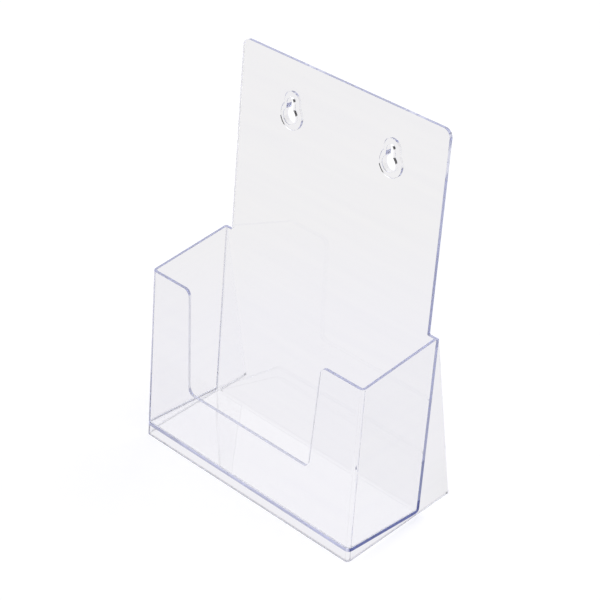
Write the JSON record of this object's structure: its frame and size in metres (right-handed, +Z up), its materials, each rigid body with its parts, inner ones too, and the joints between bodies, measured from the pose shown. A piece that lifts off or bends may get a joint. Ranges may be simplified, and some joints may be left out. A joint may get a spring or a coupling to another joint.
{
  "type": "magazine rack",
  "caption": "Clear plastic A4 magazine holder for a counter or wall: leaning back panel with keyholes, pocket with a cut-away front, raised floor and rear fins.",
  "frame": {"origin": "middle of the footprint of the whole holder, on the table", "axes": "+Z up, -Y towards the user at the open front of the pocket, +X to the right seen from the front"},
  "size_m": [0.23, 0.1288, 0.3119],
  "materials": {
    "clear_plastic": "gloss"
  },
  "bodies": {
    "root": {"back_and_floor": "clear_plastic", "pocket_wrap": "clear_plastic", "base_skirt": "clear_plastic", "left_fin": "clear_plastic", "right_fin": "clear_plastic", "left_hanger": "clear_plastic", "right_hanger": "clear_plastic"}
  },
  "joints": []
}
